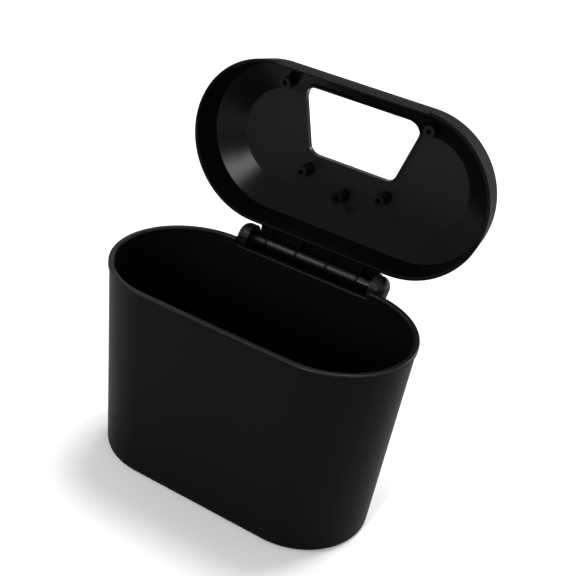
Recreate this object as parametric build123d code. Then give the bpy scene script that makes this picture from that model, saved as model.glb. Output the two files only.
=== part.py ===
from build123d import *
import os

# Car trash bin, in millimetres. The base stands on Z = 0 about the origin, the long side runs
# along X, the front faces -Y and the hinge is at the back, at +Y. The lid is drawn closed and
# then swung open about the hinge.

# Bin
RIM_LENGTH = 160.0
RIM_DEPTH = 81.0
BASE_LENGTH = 148.0
BASE_DEPTH = 71.0
HEIGHT = 108.0
WALL = 2.4
FLOOR = 2.4
BASE_ROUND = 3.0
FLOOR_ROUND = 2.0
BEAD_PROUD = 0.5
BEAD_HEIGHT = 3.0
BEAD_RAMP = 0.8
RIM_ROUND = 0.7
NOTCH_DEPTH = 3.4
NOTCH_ROUND = 1.6

# Lid
OPEN_ANGLE = 94.0
LIP_CLEARANCE = 0.5
LIP_WALL = 1.8
LIP_DROP = 1.8
LIP_ROUND = 0.6
MOUTH_CHAMFER = 0.5
SKIRT_RISE = 14.2
SKIRT_DRAFT = 2.0
STEP_RISE = 13.6
TOP_RISE = 22.4
TOP_THICKNESS = 2.2
PANEL_LENGTH = 128.0
PANEL_DEPTH = 50.0
PANEL_MARGIN = 2.0
SHOULDER_ROUND = 2.5
TOP_ROUND = 4.0
GRIP_WIDTH = 84.0
GRIP_DEPTH = 1.0
GRIP_CORNER = 0.9

# Window through the lid, wide side to the front
WINDOW_FRONT_WIDTH = 68.0
WINDOW_REAR_WIDTH = 48.0
WINDOW_DEPTH = 34.5
FRONT_BAR = 12.5
WINDOW_ROUND = 6.0
WINDOW_LIP_WIDTH = 1.2
WINDOW_LIP_HEIGHT = 1.0

# Pegs inside the lid: place from the centre line and from the window's nearest edge
PEG_RADIUS = 3.0
PEG_BORE_RADIUS = 1.3
PEG_BORE_DEPTH = 4.0
FRONT_PEG_X = 40.0
FRONT_PEG_DROP = 9.0
REAR_PEG_X = 22.5
REAR_PEG_GAP = 8.0
MIDDLE_PEG_GAP = 14.7
REAR_PEG_LENGTH = 10.0

# Hinge: a rod on ribs behind the lid's rear wall, snapped between two ears on the bin
ROD_OFFSET = 7.6
ROD_DROP = 3.2
ROD_RADIUS = 2.9
PIN_RADIUS = 2.2
PIN_LENGTH = 3.4
PIN_CLEARANCE = 0.08
SOCKET_SPARE = 0.3
EAR_INNER_X = 35.6
EAR_WIDTH = 7.4
EAR_RADIUS = 7.0
EAR_ROUND = 4.4
EAR_DROP = 6.0
EAR_ROOT = 18.0
EAR_SINK = 1.6
HOOD_RADIUS = 7.2
HOOD_WALL = 1.4
HOOD_SINK = 0.9
HOOD_END_GAP = 0.4
TROUGH_GAP = 0.3
TROUGH_WALL = 1.4
TROUGH_DROP = 6.4
STOP_RISE = 4.0
RIB_PITCH = 17.8
RIB_COUNT = 4
RIB_THICKNESS = 1.2
RIB_PROUD = 0.4

# Worked out from the sizes above
SKIN = LIP_CLEARANCE + LIP_WALL
PANEL_RISE = TOP_RISE - TOP_THICKNESS
LID_FRONT = -RIM_DEPTH / 2 - SKIN
HINGE_Y = RIM_DEPTH / 2 + SKIN + ROD_OFFSET
HINGE_Z = HEIGHT - ROD_DROP
WINDOW_FRONT = LID_FRONT + FRONT_BAR
WINDOW_REAR = WINDOW_FRONT + WINDOW_DEPTH
HINGE_AXIS = Axis((0, HINGE_Y, HINGE_Z), (1, 0, 0))


def oval(length, depth, z):
    """Flat face with straight long sides and half-round ends, at height z."""
    return Pos(0, 0, z) * SlotOverall(length, depth)


def around_rim(offset, z):
    """Oval at height z that follows the bin's rim at an offset, outwards positive."""
    return oval(RIM_LENGTH + 2 * offset, RIM_DEPTH + 2 * offset, z)


def wall_section(z, inset):
    """Oval section of the tapered bin wall at height z, inset from its outer face."""
    share = z / HEIGHT
    top_length = RIM_LENGTH - 2 * BEAD_PROUD
    top_depth = RIM_DEPTH - 2 * BEAD_PROUD
    length = BASE_LENGTH + (top_length - BASE_LENGTH) * share
    depth = BASE_DEPTH + (top_depth - BASE_DEPTH) * share
    return oval(length - 2 * inset, depth - 2 * inset, z)


def along_x(profile, x_middle, width):
    """Prism along X from a profile drawn in Y and Z about the hinge axis."""
    plane = Plane(origin=(x_middle - width / 2, HINGE_Y, HINGE_Z), x_dir=(0, 1, 0), z_dir=(1, 0, 0))
    return extrude(plane * profile, width)


def bin_shell():
    """Tapered oval bin with a rounded base, a bead round its rim and a notch for the hinge."""
    ramp_top = HEIGHT - BEAD_HEIGHT + BEAD_RAMP
    outer = loft([wall_section(0, 0), wall_section(HEIGHT, 0)], ruled=True)
    outer = fillet(outer.faces().sort_by(Axis.Z)[0].edges(), BASE_ROUND)
    bead = loft([wall_section(HEIGHT - BEAD_HEIGHT, 0), around_rim(0, ramp_top)], ruled=True)
    bead += extrude(around_rim(0, ramp_top), HEIGHT - ramp_top)
    inner = loft([wall_section(FLOOR, WALL), wall_section(HEIGHT + WALL, WALL)], ruled=True)
    inner = fillet(inner.faces().sort_by(Axis.Z)[0].edges(), FLOOR_ROUND)
    throat = wall_section(HEIGHT - RIM_ROUND, WALL)
    mouth = loft([throat, wall_section(HEIGHT, WALL - RIM_ROUND)], ruled=True)
    shell = outer + bead
    shell = fillet(shell.faces().sort_by(Axis.Z)[-1].edges(), RIM_ROUND) - inner - mouth
    notch = Pos(0, RIM_DEPTH / 2, HEIGHT - NOTCH_DEPTH) * Box(
        2 * EAR_INNER_X + EAR_WIDTH,
        RIM_DEPTH / 2,
        2 * NOTCH_DEPTH,
        align=(Align.CENTER, Align.CENTER, Align.MIN),
    )
    notch = fillet(notch.edges().filter_by(Axis.Y).group_by(Axis.Z)[0], NOTCH_ROUND)
    return shell - notch


def ear_profile():
    """Outline of an ear about the hinge axis: round at the rod, with a gusset down the wall."""
    wall_y = RIM_DEPTH / 2 - BEAD_PROUD - HINGE_Y - EAR_SINK
    root = Line((wall_y, -EAR_DROP), (wall_y, -EAR_DROP - EAR_ROOT))
    return make_hull(Circle(EAR_RADIUS).edges() + root.edges())


def ears():
    """The two ears, domed outside, each with a blind socket for the rod's pin in its inner face."""
    profile = ear_profile()
    socket = Circle(PIN_RADIUS + PIN_CLEARANCE)
    depth = PIN_LENGTH + SOCKET_SPARE
    pair = []
    for side in (-1, 1):
        ear = along_x(profile, side * (EAR_INNER_X + EAR_WIDTH / 2), EAR_WIDTH)
        outer_edges = ear.faces().sort_by(Axis((0, 0, 0), (side, 0, 0)))[-1].edges()
        ear = fillet(outer_edges.sort_by(Axis.Y)[1:], EAR_ROUND)
        pair.append(ear - along_x(socket, side * (EAR_INNER_X + depth / 2), depth))
    return pair


def trough():
    """Channel between the ears that runs from the bin's rear wall under the rod to a lip behind it,
    against which the hood stops when the lid is open."""
    wall_y = RIM_DEPTH / 2 - BEAD_PROUD - HINGE_Y - EAR_SINK
    inner = HOOD_RADIUS + TROUGH_GAP
    outer = inner + TROUGH_WALL
    below = Pos(0, -TROUGH_DROP - outer / 2) * Rectangle(4 * outer, outer)
    back = Location((0, 0), 90 - OPEN_ANGLE) * Pos(outer, -outer) * Rectangle(2 * outer, 2 * outer)
    foot = Pos(wall_y / 2, (-TROUGH_DROP - outer) / 2) * Rectangle(-wall_y, outer - TROUGH_DROP)
    channel = (Circle(outer) & (below + back)) + foot - Circle(inner)
    lip = Location((0, 0), 90 - OPEN_ANGLE) * Pos(inner + TROUGH_WALL / 2, STOP_RISE / 2)
    channel += lip * Rectangle(TROUGH_WALL, STOP_RISE)
    return along_x(channel, 0, 2 * EAR_INNER_X)


def lid_outer():
    """Outside of the lid: a drafted skirt, a sloped shoulder and a flat top."""
    foot = around_rim(SKIN, HEIGHT - LIP_DROP)
    shoulder = around_rim(SKIN - SKIRT_DRAFT, HEIGHT + SKIRT_RISE)
    top = oval(PANEL_LENGTH + 2 * PANEL_MARGIN, PANEL_DEPTH + 2 * PANEL_MARGIN, HEIGHT + TOP_RISE)
    body = loft([foot, shoulder], ruled=True) + loft([shoulder, top], ruled=True)
    body = fillet(body.edges().group_by(Axis.Z)[-1], TOP_ROUND)
    body = fillet(body.edges().group_by(Axis.Z)[0], LIP_ROUND)
    level = Plane.XY.offset(HEIGHT + SKIRT_RISE)
    corner = body.edges().filter_by(level)
    return fillet(corner, SHOULDER_ROUND)


def lid_cavity():
    """Hollow of the lid: a drafted skirt with an eased mouth, then a slope up to the flat panel."""
    foot = HEIGHT - LIP_DROP
    mouth = around_rim(LIP_CLEARANCE + MOUTH_CHAMFER, foot)
    throat = around_rim(LIP_CLEARANCE, foot + MOUTH_CHAMFER)
    step = around_rim(LIP_CLEARANCE - SKIRT_DRAFT, HEIGHT + STEP_RISE)
    panel = oval(PANEL_LENGTH, PANEL_DEPTH, HEIGHT + PANEL_RISE)
    hollow = loft([mouth, throat], ruled=True)
    hollow += loft([throat, step], ruled=True)
    return hollow + loft([step, panel], ruled=True)


def window():
    """Rounded trapezoid opening in plan."""
    front = WINDOW_FRONT_WIDTH / 2
    rear = WINDOW_REAR_WIDTH / 2
    outline = Polygon(
        (-front, WINDOW_FRONT),
        (front, WINDOW_FRONT),
        (rear, WINDOW_REAR),
        (-rear, WINDOW_REAR),
        align=None,
    )
    return fillet(outline.vertices(), WINDOW_ROUND)


def peg(x, y, tip_z):
    """Round stud with a blind bore, reaching up from its tip into the lid."""
    reach = HEIGHT + TOP_RISE - tip_z
    stud = Pos(x, y, tip_z) * Cylinder(PEG_RADIUS, reach, align=(Align.CENTER, Align.CENTER, Align.MIN))
    bore = Pos(x, y, tip_z) * Cylinder(
        PEG_BORE_RADIUS, PEG_BORE_DEPTH, align=(Align.CENTER, Align.CENTER, Align.MIN)
    )
    return stud, bore


def pegs():
    """Places of the five studs: two beside the window's front corners and three behind it."""
    rear_tip = HEIGHT + PANEL_RISE - REAR_PEG_LENGTH
    front_tip = HEIGHT + FRONT_PEG_DROP
    places = [(0, WINDOW_REAR + MIDDLE_PEG_GAP, rear_tip)]
    for side in (-1, 1):
        places.append((side * REAR_PEG_X, WINDOW_REAR + REAR_PEG_GAP, rear_tip))
        places.append((side * FRONT_PEG_X, WINDOW_FRONT, front_tip))
    return [peg(*place) for place in places]


def hinge_rod():
    """Rod with tapered ends and pins, its ribs, and the hood behind it, all on the rear of the skirt."""
    half_hood = EAR_INNER_X - HOOD_END_GAP
    outer_rib = RIB_PITCH * (RIB_COUNT - 1) / 2
    core = HOOD_RADIUS - HOOD_WALL / 2
    reach = ROD_OFFSET + HOOD_SINK
    back = Pos(HOOD_RADIUS / 2, HOOD_RADIUS / 2) * Rectangle(HOOD_RADIUS, HOOD_RADIUS)
    plate = Pos(-reach / 2, core) * Rectangle(reach, HOOD_WALL)
    hood = plate + (Circle(HOOD_RADIUS) & back) - Circle(HOOD_RADIUS - HOOD_WALL)
    foot = ROD_DROP - LIP_DROP
    web = Polyline((0, 0), (-reach, foot), (-reach, core), (0, core), close=True)
    rib = make_face(web) + (Circle(core) & back) + Circle(ROD_RADIUS + RIB_PROUD)
    rod = along_x(Circle(ROD_RADIUS), 0, 2 * outer_rib)
    rod += along_x(Circle(PIN_RADIUS), 0, 2 * (EAR_INNER_X + PIN_LENGTH))
    taper = half_hood - outer_rib
    for side in (-1, 1):
        cone = Cone(ROD_RADIUS, PIN_RADIUS, taper, align=(Align.CENTER, Align.CENTER, Align.MIN))
        rod += Pos(side * outer_rib, HINGE_Y, HINGE_Z) * Rot(0, side * 90, 0) * cone
    for index in range(RIB_COUNT):
        rod += along_x(rib, RIB_PITCH * index - outer_rib, RIB_THICKNESS)
    return rod + along_x(hood, 0, 2 * half_hood)


def closed_lid():
    """Lid moulding as it sits on the bin when closed."""
    outer = lid_outer()
    grip = Pos(0, LID_FRONT, HEIGHT) * Box(GRIP_WIDTH, 2 * GRIP_DEPTH, 2 * TOP_RISE)
    outer -= fillet(grip.edges().filter_by(Axis.Z), GRIP_CORNER)
    cavity = lid_cavity()
    opening = window()
    lid = outer - cavity
    ring = offset(opening, WINDOW_LIP_WIDTH) - opening
    ring = extrude(Pos(0, 0, HEIGHT) * ring, TOP_RISE) & outer
    lid += ring - Pos(0, 0, -WINDOW_LIP_HEIGHT) * cavity
    lid -= extrude(Pos(0, 0, HEIGHT - LIP_DROP) * opening, 2 * TOP_RISE)
    for stud, bore in pegs():
        lid += stud & outer
        lid -= bore
    return lid + hinge_rod()


def one_solid(shape):
    """The single solid of a moulding."""
    return shape.solids().sort_by(SortBy.VOLUME)[-1]


bin_body = bin_shell()
for ear in ears():
    bin_body += ear
bin_body += trough()
lid = closed_lid().rotate(HINGE_AXIS, -OPEN_ANGLE)

os.makedirs("parts", exist_ok=True)
export_step(one_solid(bin_body), "parts/bin.step")
export_step(one_solid(lid), "parts/lid.step")
print("hinge", HINGE_Y, HINGE_Z, "solids", len(bin_body.solids()), len(lid.solids()))
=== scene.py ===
import math

import bmesh
import bpy
from mathutils import Matrix, Vector


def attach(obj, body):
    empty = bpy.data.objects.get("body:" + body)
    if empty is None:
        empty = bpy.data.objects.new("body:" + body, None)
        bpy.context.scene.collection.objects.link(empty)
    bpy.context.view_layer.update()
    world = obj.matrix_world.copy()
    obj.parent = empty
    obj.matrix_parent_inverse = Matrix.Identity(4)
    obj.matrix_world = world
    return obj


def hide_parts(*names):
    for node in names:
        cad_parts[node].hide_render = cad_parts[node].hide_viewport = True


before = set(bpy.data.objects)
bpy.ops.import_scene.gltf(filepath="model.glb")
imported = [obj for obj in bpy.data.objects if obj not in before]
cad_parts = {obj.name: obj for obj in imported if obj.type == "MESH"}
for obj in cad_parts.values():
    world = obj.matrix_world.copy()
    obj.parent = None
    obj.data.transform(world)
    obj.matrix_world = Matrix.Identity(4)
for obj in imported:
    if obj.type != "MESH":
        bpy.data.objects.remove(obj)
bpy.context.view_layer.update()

# Camera that stands where the photograph was taken, angles in degrees, lengths in metres
CAMERA_AZIMUTH = 26.22
CAMERA_ELEVATION = 29.95
CAMERA_ROLL = 9.25
CAMERA_DISTANCE = 0.5273
CAMERA_FOCAL_PIXELS = 1081.6
CAMERA_AIM_HEIGHT = 0.075
CAMERA_SIDE = 0.0175
CAMERA_LIFT = 0.03077
CAMERA_CLIP_START = 0.01
PICTURE_PIXELS = 576
SENSOR_WIDTH = 36.0

# Meshes of the mouldings
WELD_DISTANCE = 1e-6
SHARP_ANGLE = math.radians(21)
FACE_AREA_WEIGHT = 100

# Black plastic: darker and lighter shade, reflection, roughness and how far the roughness drifts
MOULDED_BLACK = ((0.0018, 0.0018, 0.0018, 1), (0.0028, 0.0028, 0.0028, 1))
# The inner panel's shades are lighter than the rest of the black plastic: painted light for the light the
# panel catches, on top of its slightly rougher finish.
PANEL_BLACK_PAINTED_LIGHTER = ((0.0054, 0.0054, 0.0054, 1), (0.0072, 0.0072, 0.0071, 1))
PLASTIC_IOR = 1.5
SMOOTH_SPECULAR = 0.058
PANEL_SPECULAR = 0.045
GRAINED_SPECULAR = 0.026
SMOOTH_ROUGHNESS = 0.21
PANEL_ROUGHNESS = 0.3
LID_GRAIN_ROUGHNESS = 0.6
BIN_GRAIN_ROUGHNESS = 0.48
SMOOTH_PATCHINESS = 0.05
GRAINED_PATCHINESS = 0.06

# Noises in the plastic: scale, detail and roughness of each
GRAIN_SIZE = 0.00035
CLOUD = (24.0, 3.0, 0.55)
SPECK = (420.0, 2.0, 0.6)
GRAIN = (1 / GRAIN_SIZE, 1.0, 0.5)
NOISE_MIDDLE = 0.5
CLOUD_SHARE = 0.7
SPECK_PATCHINESS = 0.5
GRAIN_HEIGHT = 0.000012
GRAIN_STRENGTH = 0.35

# Hinge rod, rubbed bright where it turns, the rim's smooth land and the ledge before the rod
ROD_Y = 0.0504
ROD_Z = 0.1048
ROD_REACH = 0.0031
ROD_SHINE = 0.42
RIM_LAND_Z = 0.1073
RIM_SHINE = 0.25
SHINE_ROUGHNESS = 0.27
LEDGE_Y = 0.03746
LEDGE_Z = 0.1046
LEDGE_LENGTH = 0.07
LEDGE_ROUND = 0.0005
LEDGE_SEGMENTS = 4
LEDGE_REACH = 0.0008
LEDGE_SHINE = 0.4

# Lid as it lies shut, to tell its grained outside and its matt inner panel, whose lighter colour is
# painted light, from the rest
OPEN_ANGLE = math.radians(94)
RIM_Z = 0.108
RIM_STRAIGHT_HALF = 0.0395
SKIRT_INNER = 0.0405
SKIRT_OUTER = 0.0432
SHOULDER_RISE = 0.0136
TOP_FACING = 0.1
PANEL_FACING = 0.99

# Order of the lid's materials
SMOOTH, GRAINED, MATT_PAINTED_LIGHTER = range(3)

# Floor and light
FLOOR_COLOUR = (0.93, 0.93, 0.93, 1)
FLOOR_HALF = 6.0
SKY_COLOUR = (1, 1, 1, 1)
SKY_LEVEL = 0.38
KEY_PLACE = (0.05, 0.52, 1.5)
KEY_LEVEL = 2.4
KEY_SPREAD = math.radians(25)

# Softboxes: name, place, target, size in metres and watts
SOFTBOXES = (
    ("front softbox", (0.05, -1.05, 0.5), (-0.06, 0.06, 0.14), (0.2, 0.35), 8.5),
    ("upper softbox", (-0.48, -0.65, 0.95), (0, 0.05, 0.105), (0.3, 0.2), 2.0),
    ("back softbox", (0.6, 1.1, 0.6), (0, 0.07, 0.12), (0.4, 0.5), 8.0),
)


class Socket:
    """A node output on which sums are written as ordinary expressions."""

    def __init__(self, sheet, value):
        self.sheet = sheet
        self.value = value

    def maths(self, operation, other, swapped=False):
        pair = (other, self) if swapped else (self, other)
        return self.sheet.node("ShaderNodeMath", {"operation": operation}, {0: pair[0], 1: pair[1]})

    def __add__(self, other):
        return self.maths("ADD", other)

    def __radd__(self, other):
        return self.maths("ADD", other, True)

    def __sub__(self, other):
        return self.maths("SUBTRACT", other)

    def __rsub__(self, other):
        return self.maths("SUBTRACT", other, True)

    def __mul__(self, other):
        return self.maths("MULTIPLY", other)

    def __rmul__(self, other):
        return self.maths("MULTIPLY", other, True)

    def __lt__(self, other):
        return self.maths("LESS_THAN", other)

    def __gt__(self, other):
        return self.maths("GREATER_THAN", other)


class Sheet:
    """One material's or the world's node tree, emptied and ready to be filled."""

    def __init__(self, owner):
        owner.use_nodes = True
        self.tree = owner.node_tree
        self.tree.nodes.clear()

    def node(self, kind, settings=None, sockets=None, output=0):
        made = self.tree.nodes.new(kind)
        for name, value in (settings or {}).items():
            setattr(made, name, value)
        for key, value in (sockets or {}).items():
            if isinstance(value, Socket):
                self.tree.links.new(value.value, made.inputs[key])
            else:
                made.inputs[key].default_value = value
        if not made.outputs:
            return None
        return Socket(self, made.outputs[output])

    def blend(self, factor, first, second):
        return self.node(
            "ShaderNodeMix", {"data_type": "RGBA"}, {"Factor": factor, 6: first, 7: second}, output=2
        )

    def noise(self, place, scale, detail, roughness):
        return self.node(
            "ShaderNodeTexNoise",
            {},
            {"Vector": place, "Scale": scale, "Detail": detail, "Roughness": roughness},
        )

    def part_of(self, place, axis):
        return self.node("ShaderNodeSeparateXYZ", {}, {"Vector": place}, output=axis)


def near_line(sheet, place, y, z, reach):
    """One within reach of a line along X, and nothing elsewhere."""
    back = sheet.part_of(place, "Y") - y
    rise = sheet.part_of(place, "Z") - z
    return back * back + rise * rise < reach**2


def rubbed_rod(sheet, place):
    """Shine of the hinge rod, and none elsewhere."""
    return near_line(sheet, place, ROD_Y, ROD_Z, ROD_REACH) * ROD_SHINE


def smooth_rim(sheet, place):
    """Shine of the rim's land, the ears above it and the ledge's edge, and none elsewhere."""
    land = sheet.part_of(place, "Z") > RIM_LAND_Z
    ledge = near_line(sheet, place, LEDGE_Y, LEDGE_Z, LEDGE_REACH)
    return land * RIM_SHINE + ledge * LEDGE_SHINE


def satin_plastic(name, shades, specular, roughness, patchiness, shine=None):
    """Black moulded plastic with a fine grain, a slightly uneven sheen and, where given, a shine."""
    material = bpy.data.materials.new(name)
    sheet = Sheet(material)
    place = sheet.node("ShaderNodeTexCoord", output="Object")
    cloud = sheet.noise(place, *CLOUD)
    speck = sheet.noise(place, *SPECK)
    grain = sheet.noise(place, *GRAIN)
    colour = sheet.blend(cloud * CLOUD_SHARE + speck * (1 - CLOUD_SHARE), *shades)
    drift = (cloud - NOISE_MIDDLE) * patchiness
    fine_drift = (speck - NOISE_MIDDLE) * (SPECK_PATCHINESS * patchiness)
    bump = sheet.node(
        "ShaderNodeBump", {}, {"Strength": GRAIN_STRENGTH, "Distance": GRAIN_HEIGHT, "Height": grain}
    )
    finish = {
        "Base Color": colour,
        "Roughness": roughness + drift + fine_drift,
        "Normal": bump,
        "Specular IOR Level": specular,
        "IOR": PLASTIC_IOR,
    }
    if shine:
        finish["Coat Weight"] = shine(sheet, place)
        finish["Coat Roughness"] = SHINE_ROUGHNESS
    shader = sheet.node("ShaderNodeBsdfPrincipled", {}, finish)
    sheet.node("ShaderNodeOutputMaterial", {}, {"Surface": shader})
    return material


def floor_paper():
    """Pale matt paper under the bin."""
    material = bpy.data.materials.new("floor paper")
    sheet = Sheet(material)
    shader = sheet.node("ShaderNodeBsdfDiffuse", {}, {"Color": FLOOR_COLOUR})
    sheet.node("ShaderNodeOutputMaterial", {}, {"Surface": shader})
    return material


def on_ledge(edge):
    """Whether an edge is one of the long, sharp, level edges of the ledge under the hinge rod."""
    long_and_sharp = edge.calc_length() > LEDGE_LENGTH and edge.calc_face_angle(0.0) > SHARP_ANGLE
    return long_and_sharp and all(abs(vert.co.z - LEDGE_Z) < WELD_DISTANCE for vert in edge.verts)


def ease_ledge(bm):
    """Round off the inner edge of the ledge under the hinge rod."""
    ledge_edges = [edge for edge in bm.edges if on_ledge(edge)]
    inner_edge = min(ledge_edges, key=lambda edge: edge.verts[0].co.y)
    bmesh.ops.bevel(
        bm,
        geom=[inner_edge],
        offset=LEDGE_ROUND,
        offset_type="OFFSET",
        segments=LEDGE_SEGMENTS,
        profile=0.5,
        affect="EDGES",
        material=-1,
        clamp_overlap=False,
    )


def finish_lid(bm):
    """Grain on the faces that are outermost when the lid is shut, and on its inner panel a matt finish in
    a lighter colour that is painted light.
    """
    hinge = Matrix.Translation((0, ROD_Y, ROD_Z))
    shut = hinge @ Matrix.Rotation(OPEN_ANGLE, 4, "X") @ hinge.inverted()
    for face in bm.faces:
        middle = shut @ face.calc_center_median()
        normal = shut.to_3x3() @ face.normal
        core = max(-RIM_STRAIGHT_HALF, min(RIM_STRAIGHT_HALF, middle.x))
        outwards = Vector((middle.x - core, middle.y, 0))
        above = middle.z > RIM_Z + SHOULDER_RISE
        on_skirt = SKIRT_INNER < outwards.length < SKIRT_OUTER and normal.dot(outwards) > 0
        on_top = above and normal.z > TOP_FACING
        on_painted_panel = above and normal.z < -PANEL_FACING
        face.material_index = GRAINED if on_skirt or on_top else MATT_PAINTED_LIGHTER if on_painted_panel else SMOOTH


def moulding(node_name, body, materials, finish):
    """Welded, smoothly shaded copy of a moulding, in place of the plain one."""
    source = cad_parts[node_name]
    bm = bmesh.new()
    bm.from_mesh(source.data)
    bmesh.ops.remove_doubles(bm, verts=bm.verts, dist=WELD_DISTANCE)
    for face in bm.faces:
        face.smooth = True
        face.material_index = 0
    finish(bm)
    for edge in bm.edges:
        edge.smooth = edge.is_manifold and edge.calc_face_angle(0.0) < SHARP_ANGLE
    mesh = bpy.data.meshes.new(node_name + " moulding")
    bm.to_mesh(mesh)
    bm.free()
    for material in materials:
        mesh.materials.append(material)
    piece = bpy.data.objects.new(node_name + "_moulding", mesh)
    bpy.context.scene.collection.objects.link(piece)
    flat = piece.modifiers.new("flat faces stay flat", "WEIGHTED_NORMAL")
    flat.mode = "FACE_AREA"
    flat.weight = FACE_AREA_WEIGHT
    flat.keep_sharp = True
    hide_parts(node_name)
    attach(piece, body)


def lay_floor():
    """One wide, flat sheet of paper."""
    bm = bmesh.new()
    bmesh.ops.create_grid(bm, x_segments=1, y_segments=1, size=FLOOR_HALF)
    mesh = bpy.data.meshes.new("floor")
    bm.to_mesh(mesh)
    bm.free()
    mesh.materials.append(floor_paper())
    floor = bpy.data.objects.new("floor", mesh)
    bpy.context.scene.collection.objects.link(floor)


def hang_lamp(name, lamp, place, target):
    """Put a lamp in its place, with its beam along -Z turned towards a target."""
    hung = bpy.data.objects.new(name, lamp)
    hung.location = place
    hung.rotation_euler = (Vector(target) - Vector(place)).to_track_quat("-Z", "Y").to_euler()
    bpy.context.scene.collection.objects.link(hung)


def softbox(name, place, target, size, watts):
    """Rectangular lamp with an even face."""
    lamp = bpy.data.lights.new(name, "AREA")
    lamp.shape = "RECTANGLE"
    lamp.size, lamp.size_y = size
    lamp.energy = watts
    hang_lamp(name, lamp, place, target)


def soft_key():
    """High key light from behind, wide enough for a soft shadow in front."""
    lamp = bpy.data.lights.new("soft key", "SUN")
    lamp.energy = KEY_LEVEL
    lamp.angle = KEY_SPREAD
    hang_lamp("soft key", lamp, KEY_PLACE, (0, 0, 0))


def bright_room():
    """Even white surroundings, dimmer as a light than as a backdrop."""
    world = bpy.data.worlds.new("bright room")
    bpy.context.scene.world = world
    sheet = Sheet(world)
    direct = sheet.node("ShaderNodeLightPath", output="Is Camera Ray")
    mirrored = sheet.node("ShaderNodeLightPath", output="Is Glossy Ray")
    through = sheet.node("ShaderNodeLightPath", output="Is Transmission Ray")
    seen = direct + mirrored + through
    level = SKY_LEVEL + seen * (1.0 - SKY_LEVEL)
    shader = sheet.node("ShaderNodeBackground", {}, {"Color": SKY_COLOUR, "Strength": level})
    sheet.node("ShaderNodeOutputWorld", {}, {"Surface": shader})


def light_bin():
    """The room, the key light and the softboxes."""
    bright_room()
    soft_key()
    for box in SOFTBOXES:
        softbox(*box)


def stand_camera():
    """Camera at the photograph's angle, rolled about its own axis."""
    azimuth = math.radians(CAMERA_AZIMUTH)
    elevation = math.radians(CAMERA_ELEVATION)
    roll = math.radians(CAMERA_ROLL)
    level_back = Vector((math.sin(azimuth), -math.cos(azimuth), 0))
    back = level_back * math.cos(elevation) + Vector((0, 0, math.sin(elevation)))
    level_right = Vector((math.cos(azimuth), math.sin(azimuth), 0))
    level_up = back.cross(level_right)
    right = level_right * math.cos(roll) + level_up * math.sin(roll)
    up = level_up * math.cos(roll) - level_right * math.sin(roll)
    aim = Vector((0, 0, CAMERA_AIM_HEIGHT))
    place = aim + CAMERA_SIDE * right + CAMERA_LIFT * up + CAMERA_DISTANCE * back
    data = bpy.data.cameras.new("camera")
    data.sensor_width = SENSOR_WIDTH
    data.lens = CAMERA_FOCAL_PIXELS / PICTURE_PIXELS * SENSOR_WIDTH
    data.clip_start = CAMERA_CLIP_START
    camera = bpy.data.objects.new("camera", data)
    axes = Matrix((right, up, back)).transposed().to_4x4()
    camera.matrix_world = Matrix.Translation(place) @ axes
    bpy.context.scene.collection.objects.link(camera)
    bpy.context.scene.camera = camera


smooth_lid = satin_plastic(
    "smooth lid plastic", MOULDED_BLACK, SMOOTH_SPECULAR, SMOOTH_ROUGHNESS, SMOOTH_PATCHINESS, rubbed_rod
)
# Inner panel: a slightly rougher finish, and a lighter colour that is painted light.
matt_panel_painted_lighter = satin_plastic(
    "matt panel plastic painted lighter", PANEL_BLACK_PAINTED_LIGHTER, PANEL_SPECULAR, PANEL_ROUGHNESS, GRAINED_PATCHINESS
)
grained_lid = satin_plastic(
    "grained lid plastic", MOULDED_BLACK, GRAINED_SPECULAR, LID_GRAIN_ROUGHNESS, GRAINED_PATCHINESS
)
grained_bin = satin_plastic(
    "grained bin plastic",
    MOULDED_BLACK,
    GRAINED_SPECULAR,
    BIN_GRAIN_ROUGHNESS,
    GRAINED_PATCHINESS,
    smooth_rim,
)
moulding("bin", "bin", [grained_bin], ease_ledge)
moulding("lid", "lid", [smooth_lid, grained_lid, matt_panel_painted_lighter], finish_lid)
lay_floor()
light_bin()
stand_camera()
bpy.context.scene.view_settings.view_transform = "Standard"
